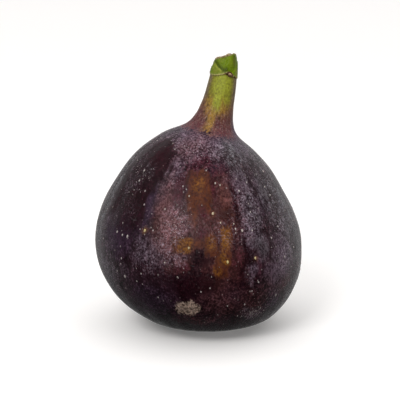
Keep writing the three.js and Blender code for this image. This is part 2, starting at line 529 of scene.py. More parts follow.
def makeRagged():
    # a soft field cut to a patch whose edge wanders with a noise; where the field is nothing,
    # so is the patch
    tree, given, result = newGroup("raggedPatch", None, {
        "Field": 0.0, "Noise": 0.5, "Wander": 0.5, "Edge": 0.2}, ["Mask"])
    reach = product(tree, given["Wander"],
                    calc(tree, "MULTIPLY", given["Field"], 4.0, clamp=True))
    shifted = addTo(tree, given["Field"], centred(tree, given["Noise"]), reach)
    low, high = (calc(tree, way, 0.5, given["Edge"]) for way in ("SUBTRACT", "ADD"))
    connect(tree, result["Mask"], spread(tree, shifted, low, high))
    return tree


grain, streaks, dots, ragged = makeGrain(), makeStreaks(), makeDots(), makeRagged()
print("node groups built")


def mottle(tree, place, size, stretch, contrast):
    # skinGrain at a place
    return useGroup(tree, grain, {"Vector": place, "Size": size, "Stretch": stretch,
                                  "Contrast": contrast})[0]


def raggedOf(tree, field, noise, wanderBy, edge):
    # raggedPatch of a field
    return useGroup(tree, ragged, {"Field": field, "Noise": noise, "Wander": wanderBy, "Edge": edge})[0]


def newMaterial(name):
    # gives its tree and its Principled BSDF as well
    material = bpy.data.materials.new(name)
    material.use_nodes = True
    return material, material.node_tree, material.node_tree.nodes["Principled BSDF"]


def addBump(tree, shader, height, strength, distance):
    # turns the normal by the slope of the height, times the distance in metres
    bump = addNode(tree, "ShaderNodeBump", {"Height": height, "Strength": strength,
                                            "Distance": distance})
    connect(tree, shader.inputs["Normal"], bump.outputs["Normal"])


def crumbMaterial(name, look, colourOf):
    # a dry material: its crumb sets the roughness and the bump, and colourOf works out the
    # colour from the tree, the crumb and the look
    material, tree, shader = newMaterial(name)
    crumb = mottle(tree, millimetres(tree), look["crumb"], 1.0, look["contrast"])
    connect(tree, shader.inputs["Base Color"], colourOf(tree, crumb, look))
    connect(tree, shader.inputs["Roughness"], spread(tree, crumb, 0, 1, *look["rough"]))
    addBump(tree, shader, crumb, *look["bump"])
    return material


# Soft patches on the skin. Each has the angle and level of its middle, half its width in
# degrees, half its height in millimetres, and its strength.
skinMarks = {
    "ochre": [    # thin places where the flesh shows through
        (-4.4, 44.4, 10, 1.9, 1), (-2.2, 41.9, 9, 2.2, 1), (-0.6, 39.4, 8.2, 2, 0.95),
        (-4, 36.2, 3.6, 2.4, 0.6), (17, 41.8, 5.8, 2.5, 0.5), (17.5, 37.8, 6.5, 1.8, 0.45),
        (-8.7, 30, 6, 2.2, 1), (6.8, 30.1, 3.8, 3.4, 0.9), (16.2, 31.4, 3.8, 3.6, 1),
        (13.8, 26.8, 5.2, 3.2, 0.95), (12, 22.8, 4.6, 2.2, 0.7), (1, 30.2, 5, 1.7, 0.55),
        (118, 36, 9, 7, 0.7), (133, 30, 5, 6, 0.75), (166, 41, 8, 5, 0.7), (205, 33, 7, 7, 0.75),
        (222, 40, 6, 5, 0.6), (-112, 34, 6, 6, 0.55)],
    "glow": [    # the brightest of them
        (-6.4, 29.9, 4.2, 2.1, 1), (7, 30.4, 2.6, 1.7, 0.6), (15.6, 31.8, 2.6, 3.2, 0.9),
        (14.2, 26.6, 2.2, 1.8, 0.7), (-4, 43.4, 4.5, 1.8, 0.4), (10.5, 22.7, 3, 1.6, 0.4),
        (133, 30, 3, 4, 0.7), (205, 33, 4, 4, 0.8)],
    "warm": [    # reddish skin round them
        (4, 39.5, 22, 7.5, 0.95), (6, 33, 18, 5, 1), (15, 24.5, 11, 5.5, 0.9), (-9, 25.2, 8, 2, 0.8),
        (8, 19, 14, 3.4, 0.6), (20, 13.5, 26, 5, 0.5), (-18, 35, 10, 9, 0.9), (54, 15.5, 8, 3, 0.7),
        (125, 34, 24, 14, 0.8), (212, 36, 26, 13, 0.8), (-112, 34, 16, 12, 0.5), (166, 40, 16, 9, 0.6)],
    "maroon": [
        (-15.4, 41.8, 4.4, 4.6, 0.95), (-43, 46.8, 8, 2.4, 1), (-4, 47.6, 12, 1.4, 0.8),
        (9, 46.4, 11, 1.2, 0.35), (8.7, 42.3, 1.9, 3, 0.6), (23.5, 41, 1.8, 4, 0.6),
        (21.5, 24.5, 3.4, 4, 0.42), (1, 33.2, 2.4, 1.8, 0.8), (2, 38, 2.6, 1.4, 0.7),
        (-9, 24.6, 5, 1.2, 0.6), (-53, 37.5, 6, 3, 0.45), (4, 53.8, 9, 0.8, 0.5), (56, 15, 6, 2.4, 0.5),
        (90, 48, 14, 2, 0.5), (150, 47, 16, 2.4, 0.7), (-160, 30, 6, 8, 0.6)],
    "violet": [
        (-32, 36.5, 3.8, 6, 1), (-6, 48.4, 12, 1.6, 0.7), (0, 53.4, 180, 2.4, 0.8),
        (-21, 45.5, 7, 2, 0.6), (9, 46.6, 12, 1.3, 0.7), (-52, 30, 13, 5, 1), (-37, 32, 6, 4, 0.6),
        (-30, 15, 16, 4.5, 0.6), (18.5, 15, 3.4, 2.6, 0.6), (-18, 43, 4, 3, 0.45),
        (45, 11, 9, 2.6, 0.7), (68, 37.5, 3, 1.8, 0.7), (48, 38.5, 7, 3, 0.5), (76, 55.3, 13, 1.1, 1),
        (120, 12, 30, 6, 0.6), (-120, 16, 30, 8, 0.6), (180, 15, 24, 6, 0.5)],
    "bloom": [    # waxy bloom; the patches between about -30 and -7 degrees, levels 26 to 37, are partly a painted soft reflection and highlight
        (17, 42.4, 6, 2.4, 0.45), (-71, 24, 2.5, 5.5, 1), (-78, 16, 8, 4, 0.9), (12, 52, 80, 4.4, 0.74),
        (-22, 50.6, 22, 3.4, 0.3), (-25, 46, 5.5, 3.6, 0.55), (-24, 39.5, 5.5, 4.4, 0.5),
        (-14, 34.2, 7.4, 4.6, 0.86), (-28, 27.2, 13, 4.2, 0.62), (-16, 28, 6, 3.4, 0.55),
        (34, 36.5, 9.5, 8, 0.74), (33, 45.6, 10, 3, 0.85), (50, 43, 8, 5, 0.8), (52, 36.5, 7, 4, 0.72),
        (36, 28.5, 8, 3.8, 0.66), (54, 24, 10, 7, 0.9), (64, 33, 5, 6, 0.6), (76, 36, 10, 13, 0.74),
        (-76, 36, 9, 15, 0.7), (-64, 17, 11, 8, 0.9), (-16.8, 30, 3.2, 2.6, 0.9),
        (-9.8, 26.9, 4, 1.6, 1), (-7, 35.4, 3.4, 2.4, 0.8), (-45, 21.2, 6, 3, 0.6),
        (-20, 26.4, 4, 2, 0.75), (25.6, 33, 3, 2, 0.8), (30.5, 28.6, 3, 3, 0.6), (29, 21.2, 3, 3, 0.85),
        (-18.4, 36.4, 4.4, 2, 0.9), (-13.6, 33, 4, 3, 1), (-30, 17.5, 22, 6, 0.42),
        (22, 13.5, 30, 6, 0.36), (31, 8.8, 9, 2, 0.95), (-38, 10, 14, 3, 0.6), (-58, 8, 16, 3.5, 0.8),
        (6, 34.5, 14, 2.6, 0.14), (-5, 8, 30, 2.2, 0.45), (44, 19.5, 8, 4, 0.8), (46, 12, 9, 3.6, 0.6),
        (-95, 46, 20, 6, 0.8), (100, 46, 24, 6, 0.85), (150, 45, 34, 7, 0.7), (215, 46, 36, 6, 0.8),
        (182, 27, 26, 8, 0.6), (-115, 30, 24, 12, 0.66), (108, 28, 18, 12, 0.62), (140, 20, 14, 5, 0.5),
        (-145, 22, 16, 6, 0.5)],
    "roseAndHighlight": [    # bloom that is pink instead of grey; the first patch is partly the painted highlight at the front left
        (-14.5, 33.5, 10, 6, 0.85), (-22, 39, 8, 6, 0.7), (-10, 27, 4, 2, 0.8), (-20, 50, 24, 4, 0.5),
        (12, 38, 14, 7, 0.9), (16, 14, 26, 6, 0.5), (66, 46.5, 8, 1.8, 0.7), (-5, 8, 20, 2, 0.8),
        (130, 44, 20, 5, 0.5), (-150, 40, 16, 6, 0.6)],
    "ash": [    # bloom that is plain grey
        (30, 50, 16, 3.6, 0.7), (36, 40, 6, 8, 0.35), (56, 41, 11, 10, 0.7), (-47, 43.6, 9, 3, 0.6),
        (-82, 36, 18, 18, 1), (80, 38, 18, 20, 0.9), (38, 50.5, 26, 3.6, 0.5), (37, 28, 7, 3.6, 0.5),
        (-64, 17, 10, 8, 0.4), (-110, 20, 20, 12, 0.5)],
    "frostAndHighlight": [    # bloom that lies as bright flecks; those between -28 and -12 degrees, levels 25 to 35, partly paint the soft reflection and highlight at the front left
        (-71, 24, 2, 5, 1), (-12.5, 35, 6.5, 3.6, 1), (-17, 28, 7, 3.4, 0.5), (55, 24, 10, 7, 0.9),
        (31, 8.8, 9, 2, 1), (-28, 25.5, 12, 4, 0.5), (34, 38, 11, 9, 0.75), (10, 50.8, 90, 3.2, 0.7),
        (-62, 18, 12, 8, 1), (-48, 8, 20, 3, 0.8), (29, 21.2, 3, 3, 0.5), (-9.8, 26.9, 4, 1.6, 0.9),
        (-13.6, 33, 4, 3.4, 1), (-16.8, 29.8, 3.4, 2.4, 0.9), (64, 38, 12, 12, 1),
        (-72, 34, 9, 14, 0.8), (-22, 45, 9, 4, 0.4), (14, 33, 10, 4, 0.4), (180, 45, 60, 6, 0.6),
        (130, 25, 30, 8, 0.4)],
    "shade": [    # places with no bloom at all, nearly black
        (17, 38, 7, 1.3, 0.6), (-3, 18.6, 12, 3.6, 0.8), (-14, 21.6, 9, 1.3, 0.7),
        (0.5, 26.8, 3, 1.3, 0.85), (4.5, 25.2, 3, 1.2, 0.6), (26.6, 26.6, 2.2, 1.8, 0.9),
        (10.4, 29.8, 1.2, 1.4, 0.7), (88, 54.6, 16, 1.5, 0.6), (-97, 54, 14, 1.5, 0.5),
        (-34, 51.2, 8, 1.5, 0.3), (38.5, 46.4, 1.7, 1, 1), (51, 47.9, 7, 1, 0.9),
        (31, 26.6, 2.6, 0.8, 0.9), (-65.5, 35, 1.4, 0.9, 1), (29, 24.9, 2.8, 0.9, 0.9),
        (45, 28.6, 2, 2.2, 0.8), (64, 41.5, 2.2, 2.6, 1), (61.5, 29, 2, 1.4, 0.9),
        (68.5, 27.5, 2, 1.6, 0.9), (24.5, 21.6, 2, 1.6, 0.7), (-27, 9.3, 6, 0.8, 0.7),
        (100, 30, 5, 5, 0.6), (180, 38, 7, 4, 0.7), (-135, 42, 8, 4, 0.7)],
}
# Thin dark lines between the ribs: width in millimetres, strength, and angle and level of each
# point that the line passes.
skinLines = [
    (0.42, 0.9, [(37.5, 48), (39, 46), (42, 43.5), (46, 39), (49, 36)]),
    (0.48, 0.9, [(59, 47.5), (64.5, 43), (64.5, 39.5), (57.5, 34.5), (52, 31.6), (46, 30.6),
                 (43.6, 28.4), (42.5, 24)]),
    (0.6, 0.8, [(20.3, 44), (24, 41), (24.2, 37.2), (24.4, 35.8)]),
    (0.6, 0.85, [(26.4, 30.6), (26.4, 28.8), (27, 25.8), (25.6, 24.4), (22.6, 21.4)]),
    (0.5, 0.7, [(-12, 45.6), (-12.2, 42.6), (-11.8, 39.8)]), (0.4, 0.8, [(75, 44), (79, 38), (77, 32)]),
    (0.4, 0.8, [(50, 49), (55, 47.4), (60, 46.4)]), (0.35, 0.7, [(66, 46), (70, 42.5), (72, 38)]),
    (0.35, 0.7, [(56, 45.5), (58, 42), (56.5, 39)]), (0.35, 0.7, [(-66, 47), (-70, 42), (-69, 37)]),
    (0.3, 0.7, [(-74, 44), (-78, 39)]), (0.35, 0.7, [(70, 35), (66, 30), (68, 25)]),
    (0.6, 0.7, [(140, 48), (146, 42), (143, 34), (150, 26)]),
    (0.6, 0.7, [(-150, 47), (-144, 40), (-149, 31)]), (0.6, 0.6, [(190, 44), (186, 36), (194, 28)]),
]
# The dark band on the left where the bloom has been rubbed away: its two edges at some levels,
# and the thin rest of bloom in it, as patches.
rubbedBand = {
    "level": [26, 30, 32.4, 35.5, 39, 41, 43, 45.3, 46.7, 48.6, 49.7, 50.8],
    "left": [-60, -63, -63, -65.5, -69, -70, -70, -69, -68, -66, -62, -56],
    "right": [-34, -33, -32.2, -33.5, -36, -34, -29.8, -28.4, -31, -37, -41, -44],
    "levels": (28, 35, 49.8, 50.8),    # where it fades in, and where it fades out
    "ragged": 7,                       # degrees over which its edge comes and goes
    "haze": [(-47, 43.6, 6, 1.5, 1), (-52, 40.6, 7, 1.6, 0.9), (-48, 35.8, 5, 1.8, 0.5),
             (-58, 38, 4, 4, 0.7), (-60, 44.4, 5, 3, 0.8), (-58, 33.4, 6, 1.4, 0.7)],
}
# The edge of the stub's longest bract: painted shade over the line, pale under it.
stubFold = {"width": 0.8, "points": [(-66, 72.9), (-48, 72.2), (-30, 71.1), (-10, 70.1), (8, 69.4)]}
# Marks of the neck and the stub, in the same form as those of the skin.
stalkMarks = {
    "neckRust": [
        (-10, 58.2, 36, 2.8, 0.9), (-14, 55.8, 18, 2, 0.7), (30, 60, 24, 2.4, 0.5),
        (130, 58, 60, 3, 0.8), (-130, 58, 50, 3, 0.8)],
    "neckOchre": [
        (-5, 60.8, 46, 2.4, 1), (-12, 56.6, 14, 3.4, 0.95), (-34, 59.6, 16, 1.8, 0.6),
        (24, 60.2, 18, 1.8, 0.6), (130, 60.6, 60, 2.4, 0.8), (-130, 60.6, 50, 2.2, 0.8)],
    "neckViolet": [
        (82, 55.6, 22, 3.6, 1), (62, 53.8, 12, 1.6, 0.7), (88, 58.6, 14, 2.4, 0.8)],
    "neckGreen": [
        (-2, 67.2, 46, 5.6, 1), (-6, 61.8, 20, 2.6, 1), (27, 62.8, 17, 2.2, 0.65),
        (36, 63.8, 13, 2.6, 0.6), (125, 67, 40, 5, 0.8), (-120, 67, 40, 5, 0.8)],
    "neckPlum": [
        (-30, 55.6, 14, 1.5, 0.9), (10, 56, 11, 2.2, 1), (40, 56.4, 18, 2.6, 0.7),
        (-62, 57, 14, 3, 0.5), (4, 54.6, 12, 0.9, 1), (60, 59, 12, 3, 0.4), (130, 55.4, 60, 1.6, 0.8),
        (-130, 55.4, 50, 1.6, 0.8)],
    "neckSpots": [
        (-42, 58.3, 4, 0.35, 1), (12.5, 57.7, 3.5, 0.55, 1), (-11, 61, 3, 0.35, 0.7),
        (-17, 63.7, 4, 0.3, 0.6), (-27, 63.3, 4, 0.3, 0.5), (-52, 64, 9, 0.25, 0.8),
        (-58, 66, 8, 0.25, 0.8), (-70, 63.2, 10, 0.5, 0.8), (44, 64.6, 6, 0.25, 0.5),
        (62, 65, 6, 1.2, 0.6), (-60, 60.3, 8, 0.3, 0.7), (20, 60.8, 7, 0.2, 0.5),
        (-48, 65.2, 5, 0.3, 0.7), (-38, 60.2, 5, 0.3, 0.7), (-45, 62, 5, 0.25, 0.7),
        (-12, 57.2, 3, 0.3, 0.8), (-24, 56.6, 3, 0.6, 0.9), (2, 58.6, 3, 0.4, 0.6)],
    # painted shade over the bract's fold, and a few darker green patches
    "stubDeepAndShade": [
        (6, 69.9, 17, 0.7, 1), (47, 73, 12, 0.5, 0.6), (150, 71, 30, 1, 0.6)],
    "stubPale": [
        (-56, 71.3, 12, 1.2, 0.9), (-40, 70.1, 16, 0.9, 1), (-20, 69.5, 12, 0.45, 0.9),
        (64, 70, 16, 0.7, 0.9), (-24, 72.6, 14, 0.5, 0.5), (28, 71.3, 9, 1.2, 0.45)],
    "stubOlive": [
        (48, 72.2, 12, 1.4, 0.8), (-84, 71, 14, 2.4, 0.6), (15, 73.3, 40, 0.3, 0.8),
        (70, 70.4, 6, 0.8, 0.6), (180, 72, 50, 2, 0.5)],
}
# The largest lenticels: angle, level, half width in millimetres, and how strongly the skin
# glows orange round them.
lenticelHeroes = [
    (-31.4, 32.2, 0.42, 0.9), (-4.6, 29.2, 0.34, 0.7), (8.5, 37.6, 0.42, 0.5), (16.1, 25.3, 0.44, 1),
    (32.3, 25.3, 0.4, 0.8), (26.8, 33.1, 0.4, 0.1), (-44.6, 19.9, 0.46, 0), (47.5, 12.7, 0.42, 0),
    (22.6, 33.7, 0.3, 0), (28.2, 42.6, 0.32, 0), (33.4, 32.8, 0.26, 0), (34.9, 37.7, 0.24, 0),
    (36.5, 44.5, 0.28, 0), (46.3, 29.7, 0.28, 0), (54.5, 23.2, 0.32, 0), (24.5, 12.4, 0.3, 0),
    (28.8, 16.1, 0.28, 0), (13.8, 12.7, 0.24, 0), (33, 18.3, 0.26, 0), (-51.5, 30.3, 0.36, 0),
    (-46.6, 30, 0.34, 0), (-42.6, 30, 0.42, 0), (-50.3, 43.6, 0.34, 0), (-49.6, 41.5, 0.3, 0),
    (-41, 40, 0.26, 0), (-37.3, 37.5, 0.28, 0), (-26.3, 32.5, 0.24, 0), (-22.2, 37.5, 0.26, 0.1),
    (-8.5, 40.8, 0.26, 0.2), (-14.4, 42.5, 0.26, 0), (-32.2, 21.7, 0.28, 0), (-36, 19.4, 0.24, 0),
    (-45.8, 24.5, 0.28, 0), (-11.2, 21.7, 0.24, 0.1), (-17.7, 25.3, 0.24, 0.1), (12.8, 43.7, 0.26, 0.2),
    (9, 44, 0.3, 0.1), (5.3, 18.5, 0.26, 0), (0.2, 17.6, 0.28, 0), (-25, 15.5, 0.26, 0),
    (63.4, 46.7, 0.34, 0), (54.8, 43.2, 0.3, 0), (57.9, 41, 0.26, 0), (54.6, 32.2, 0.28, 0),
    (66.5, 24.3, 0.3, 0), (13.4, 35.4, 0.26, 0.3), (21.8, 35, 0.24, 0.2), (-66, 27.2, 0.3, 0),
    (-50.8, 20.8, 0.28, 0), (-40, 8.6, 0.3, 0), (115, 38, 0.42, 0.7), (160, 30, 0.4, 0.9),
    (-150, 34, 0.42, 0.6), (200, 24, 0.4, 0.7), (-105, 25, 0.4, 0.2),
]
# Powers of the distance in a patch: the higher, the flatter the patch and the sharper its edge.
patchPower = {"skin": 3, "ochre": 6, "glow": 4, "stalk": 2.4}


def strongest(angle, level, patches, power):
    # at each point, the value of the strongest of the patches: each falls away from its middle
    # as e to the minus power of the distance over the half size, across and up
    total = np.zeros(angle.shape)
    for middle, height, half, tall, strength in patches:
        across = np.abs(np.degrees(wrapAngle(angle - math.radians(middle)))) / half
        up = np.abs(level - height) / tall
        total = np.maximum(total, strength * np.exp(-across ** power - up ** power))
    return total


def alongLine(angle, level, width, points):
    # e to the minus squared distance from a run of straight stretches, in widths
    nearest = np.full(angle.shape, np.inf)
    radius = sideRadius(level)
    for (angleA, levelA), (angleB, levelB) in zip(points, points[1:]):
        x, y = wrapAngle(angle - math.radians(angleA)) * radius, level - levelA
        dx, dy = wrapAngle(math.radians(angleB - angleA)) * radius, levelB - levelA
        share = np.clip((x * dx + y * dy) / (dx * dx + dy * dy), 0, 1)
        nearest = np.minimum(nearest, np.hypot(x - share * dx, y - share * dy))
    return np.exp(-(nearest / width) ** 2)


def wander(angle, level):
    # the same places, slid about by two sizes of noise, so that no mark has a straight edge
    slide, rise = (wrapNoise(angle, level, 44, 4, seed) - 0.5
                   + 0.6 * (wrapNoise(angle, level, 130, 1.5, seed + 1) - 0.5) for seed in (21, 23))
    onFruit = 1 - smoothStep(level, 50, 56)
    return (angle + math.radians(5) * slide * (0.4 + 0.6 * onFruit),
            level + 2.4 * rise * (0.15 + 0.85 * onFruit))


def foldFields(angle, level):
    # the stub's fold as two fields: painted shade over the line, and the pale bract under it
    fold = alongLine(angle, level, stubFold["width"], stubFold["points"])
    line = np.interp(np.degrees(wrapAngle(angle)), *np.transpose(stubFold["points"]))
    over = smoothStep(level - line, -0.15, 0.15)
    return fold * over, fold * (1 - over)


def bandField(angle, level, held, risen):
    # 1 in the rubbed band, between edges that are ragged and softer on the left
    b = rubbedBand
    degrees = np.degrees(wrapAngle(held[0])) + b["ragged"] * (wrapNoise(angle, level, 130, 1.3, 25) - 0.5)
    left, right = (np.interp(held[1], b["level"], b[edge]) for edge in ("left", "right"))
    return between(degrees, left - 5, left + 3, right - 1.2, right + 1.2) * between(risen, *b["levels"])


def haloField(angle, level):
    # round each large lenticel, its glow times e to the minus squared distance
    widthOfHalo = 1.9
    halo = np.zeros(angle.shape)
    for heroAngle, heroLevel, size, glow in lenticelHeroes:
        across = wrapAngle(angle - math.radians(heroAngle)) * sideRadius(level)
        away = np.hypot(across, level - heroLevel) / (widthOfHalo * size)
        halo = np.maximum(halo, glow * np.exp(-away ** 2))
    return halo


def skinFields(angle, level):
    # every field that the skin's material reads: the level in millimetres, others from 0 to 1
    slid, risen = wander(angle, level)
    held = angle + 0.3 * (slid - angle), level + 0.3 * (risen - level)    # marks that slide less
    fields = {name: strongest(slid, risen, patches, patchPower["skin"])
              for name, patches in skinMarks.items()}
    fields |= {name: strongest(*held, skinMarks[name], patchPower[name]) for name in ("ochre", "glow")}
    fields |= {name: strongest(slid, risen, patches, patchPower["stalk"])
               for name, patches in stalkMarks.items()}
    band = bandField(angle, level, held, risen)
    haze = strongest(slid, risen, rubbedBand["haze"], patchPower["skin"])
    lines = [strength * alongLine(*held, width, points) for width, strength, points in skinLines]
    fields["shade"] = np.maximum.reduce([fields["shade"], *lines, 0.9 * band])
    for name, fold in zip(("stubDeepAndShade", "stubPale"), foldFields(angle, level)):
        fields[name] = np.maximum(fields[name], fold)

    # bloom is thin in the band and on the ochre, uneven elsewhere, and ends at the neck
    bloom = np.maximum(fields["bloom"] * (1 - 0.95 * band), 0.85 * haze)
    bloom = bloom * (1 - 0.7 * smoothStep(fields["ochre"], 0.3, 0.8))
    drift = 0.35 * (wrapNoise(angle, level, 14, 9, 11) - 0.5)
    fields["bloom"] = np.clip(bloom + drift * (1 - band), 0, 1) * (1 - smoothStep(level, 55, 58))
    fields["frostAndHighlight"] = np.maximum(fields["frostAndHighlight"] * (1 - band), 0.45 * haze)
    above = level - figShape["ringHeight"]
    side = np.abs(np.degrees(wrapAngle(angle + math.radians(2))))
    return fields | {"rubbed": band, "level": level, "scar": scarField(angle, level),
                     "stalkSide": smoothStep(side, 36, 66), "halo": haloField(angle, level),
                     "ringLine": np.exp(-((above - 0.2) / 0.2) ** 2) * (above > 0)}


skinLook = {
    "nearBlack": (0.0150, 0.0027, 0.0052),
    "plum": (0.0360, 0.0110, 0.0190),
    "violet": (0.0420, 0.0200, 0.0420),
    "wine": (0.0600, 0.0110, 0.0170),
    "maroon": (0.0620, 0.0090, 0.0180),
    "warm": (0.0780, 0.0250, 0.0240),
    "ochre": (0.0980, 0.0238, 0.0062),
    "glow": (0.2300, 0.0850, 0.0080),
    "halo": (0.2400, 0.0950, 0.0120),
    "bloom": (0.1320, 0.0880, 0.1230),
    # rose and frost are also the colours of the painted highlight on the front left
    "roseAndHighlight": (0.2500, 0.0880, 0.0920),
    "ash": (0.1050, 0.1080, 0.1060),
    "scarDark": (0.2200, 0.1450, 0.1100),
    "scarTan": (0.5600, 0.4000, 0.3200),
    "frostAndHighlight": (0.3400, 0.2700, 0.3200),
    "frostGrey": (0.2700, 0.2900, 0.3100),
    "speck": (0.3600, 0.2700, 0.2700),
    "bloomCover": 0.68,
    "grainDepth": 1.7,
    "sheen": 0.02,
    "shine": 0.3,
}
# Colours of the neck and the stub. Those with the name of a mark are that mark's.
stalkLook = {
    "plum": (0.124, 0.034, 0.042),
    "plumBrown": (0.170, 0.066, 0.044),
    "neckRust": (0.235, 0.110, 0.042),
    "neckOchre": (0.360, 0.195, 0.024),
    "neckPlum": (0.124, 0.034, 0.042),
    "neckGreen": (0.368, 0.390, 0.036),
    "neckViolet": (0.060, 0.042, 0.090),
    "neckSpots": (0.050, 0.026, 0.012),
    "fleck": (0.400, 0.290, 0.250),
    "brown": (0.110, 0.055, 0.028),
    "olive": (0.260, 0.220, 0.025),
    "sideBrown": (0.220, 0.155, 0.092),
    "green": (0.165, 0.246, 0.001),
    "stubOlive": (0.150, 0.160, 0.012),
    "stubPale": (0.270, 0.300, 0.030),
    # dark green of the stub: painted shade over the bract's fold, and a few darker patches
    "stubDeepAndShade": (0.078, 0.110, 0.000),
    "ringPale": (0.420, 0.400, 0.130),
}
# Levels, in millimetres, between which the skin turns to neck and the neck to stub.
stalkLevels = {
    "poresFade": (54, 58.5), "grainFades": (52.5, 58.5), "neckStarts": (53.85, 55.5),
    "neckTurnsBrown": (56.625, 61.125), "neckTurnsGreen": (60.375, 64.875),
    "blotchesFade": (58.5, 63), "flecksEnd": (57, 63), "stubStarts": (68.8875, 68.9625),
}
# How each mark's soft field is cut to a ragged patch: the noise, how far it moves the edge, how
# soft the edge is, and how much of the mark's colour shows.
markEdges = {
    "violet": ("net", 0.5, 0.5, 0.8), "warm": ("net", 0.5, 0.5, 0.9),
    "glow": ("net", 0.5, 0.5, 1.0), "ochre": ("cloud", 0.3, 0.25, 0.92),
    "halo": ("fine", 0.4, 0.5, 0.7), "maroon": ("net", 0.7, 0.5, 0.85),
    "shade": ("net", 0.7, 0.4, 1.0), "bloom": ("cloud", 0.45, 0.5, 1.0),
    "neckRust": ("cloud", 0.6, 0.5, 0.9), "neckOchre": ("cloud", 0.6, 0.5, 0.9),
    "neckPlum": ("cloud", 0.6, 0.5, 0.75), "neckGreen": ("cloud", 0.35, 0.5, 1.0),
    "neckViolet": ("net", 0.6, 0.5, 0.85), "neckSpots": ("net", 0.6, 0.4, 0.85),
    "stubOlive": ("net", 0.4, 0.5, 1.0), "stubPale": ("net", 0.3, 0.45, 1.0),
    "stubDeepAndShade": ("net", 0.3, 0.5, 1.0),
}
# Mottles: size in millimetres, stretch upwards and contrast. Streaks: how many, length and contrast.
skinMottles = {"fine": (0.55, 1.3, 4.0), "middle": (1.6, 1.6, 3.2), "broad": (6.0, 1.5, 2.4),
               "crisp": (0.42, 1.0, 4.5)}
skinStreaks = {"fleck": (32.0, 0.07, 3.2), "vein": (13.0, 0.8, 2.2), "stroke": (26.0, 0.22, 3.2)}


def skinNoises(tree, place):
    # every mottle and streak by its name, and two mixtures of them
    flow = addNode(tree, "ShaderNodeAttribute", attribute_name="flow").outputs["Vector"]
    noises = {name: mottle(tree, place, *values) for name, values in skinMottles.items()}
    for name, (count, length, contrast) in skinStreaks.items():
        noises[name] = useGroup(tree, streaks, {"Flow": flow, "Count": count, "Length": length,
                                                "Contrast": contrast})[0]
    noises["net"] = mixed(tree, noises["fine"], 0.6, noises["middle"])
    noises["cloud"] = mixed(tree, noises["fleck"], 0.3, noises["net"])
    return noises


def markMask(tree, noises, name):
    # the mark's field, cut to its ragged patch, times its strength
    noise, wanderBy, edge, strength = markEdges[name]
    return product(tree, raggedOf(tree, valueOf(tree, name), noises[noise], wanderBy, edge), strength)


def layMarks(tree, noises, colour, look, *names):
    # the marks' colours one over another, in the order of their names
    for name in names:
        colour = blend(tree, markMask(tree, noises, name), colour, look[name])
    return colour


def bareSkin(tree, noises):
    # near black with plum, wine, violet and warm places, and ochre windows netted with wine
    look, n = skinLook, noises
    colour = blend(tree, spread(tree, mixed(tree, n["broad"], 0.6, n["vein"]), 0.25, 0.85),
                   look["nearBlack"], look["plum"])
    colour = blend(tree, product(tree, spread(tree, n["net"], 0.5, 0.95), 0.4), colour, look["wine"])
    colour = layMarks(tree, n, colour, look, "violet", "warm")
    window = layMarks(tree, n, look["ochre"], look, "glow")
    window = blend(tree, spread(tree, n["cloud"], 0.15, 0.60, 0.60, 0.0), window, look["wine"])
    ochreMask = markMask(tree, n, "ochre")
    colour = blend(tree, ochreMask, colour, window)
    return layMarks(tree, n, colour, look, "halo", "maroon"), ochreMask


def waxed(tree, noises, colour):
    # shade, then waxy bloom that is worn off in flecks, then its bright grains; on the front left, bloom
    # and grains also paint a soft reflection and highlight
    look, n, ash = skinLook, noises, valueOf(tree, "ash")
    shade = markMask(tree, n, "shade")
    colour = blend(tree, product(tree, shade, 0.85), colour, look["nearBlack"])
    flecked = spread(tree, mixed(tree, n["crisp"], 0.35, n["cloud"]), 0.05, 0.80, 0.40, 1.10)
    worn = product(tree, ash, spread(tree, n["stroke"], 0.42, 0.20))
    bloom = product(tree, markMask(tree, n, "bloom"), flecked, addTo(tree, 1.0, shade, -0.9),
                    addTo(tree, 1.0, worn, -0.8))
    bloomColour = blend(tree, valueOf(tree, "roseAndHighlight"), look["bloom"], look["roseAndHighlight"])
    bloomColour = blend(tree, ash, bloomColour, look["ash"])
    colour = blend(tree, product(tree, bloom, look["bloomCover"]), colour, bloomColour)
    frostAndHighlight = product(tree, spread(tree, mixed(tree, n["crisp"], 0.75, n["middle"]), 0.60, 0.92),
                    valueOf(tree, "frostAndHighlight"), 0.85)
    return blend(tree, frostAndHighlight, colour, blend(tree, ash, look["frostAndHighlight"], look["frostGrey"])), bloom


def poreMask(tree, place, level):
    # pin-prick lenticels of two sizes, few on the neck
    masks = []
    for spacing, radius, chance, least, most in ((3.1, 0.34, 0.5, 0.2, 0.8), (1.35, 0.22, 0.6, 0.05, 0.6)):
        made = useGroup(tree, dots, {"Vector": place, "Spacing": spacing, "Radius": radius,
                                     "Chance": chance})
        masks.append(product(tree, made["Mask"], spread(tree, made["Tone"], 0, 1, least, most)))
    return product(tree, calc(tree, "MAXIMUM", *masks),
                   spread(tree, level, *stalkLevels["poresFade"], 1.0, 0.1))


def neckColour(tree, noises, level):
    # plum at its foot, then brown, then olive with brown sides, under its marks and flecks
    look, n, at = stalkLook, noises, stalkLevels
    climb = addTo(tree, level, mixed(tree, n["net"], 0.5, n["broad"]), 2.625)
    upper = blend(tree, valueOf(tree, "stalkSide"), look["olive"], look["sideBrown"])
    neck = blend(tree, spread(tree, climb, *at["neckTurnsBrown"]), look["plum"], look["plumBrown"])
    neck = blend(tree, spread(tree, climb, *at["neckTurnsGreen"]), neck, upper)
    neck = layMarks(tree, n, neck, look, "neckRust", "neckOchre", "neckPlum", "neckGreen", "neckViolet")
    blotch = product(tree, spread(tree, mixed(tree, n["crisp"], 0.5, n["middle"]), 0.55, 0.95),
                     spread(tree, level, *at["blotchesFade"], 0.50, 0.35))
    flecks = product(tree, spread(tree, mixed(tree, n["crisp"], 0.6, n["fleck"]), 0.45, 0.10),
                     spread(tree, level, *at["flecksEnd"], 0.45, 0.0))
    neck = blend(tree, flecks, blend(tree, blotch, neck, look["brown"]), look["fleck"])
    return layMarks(tree, n, neck, look, "neckSpots")


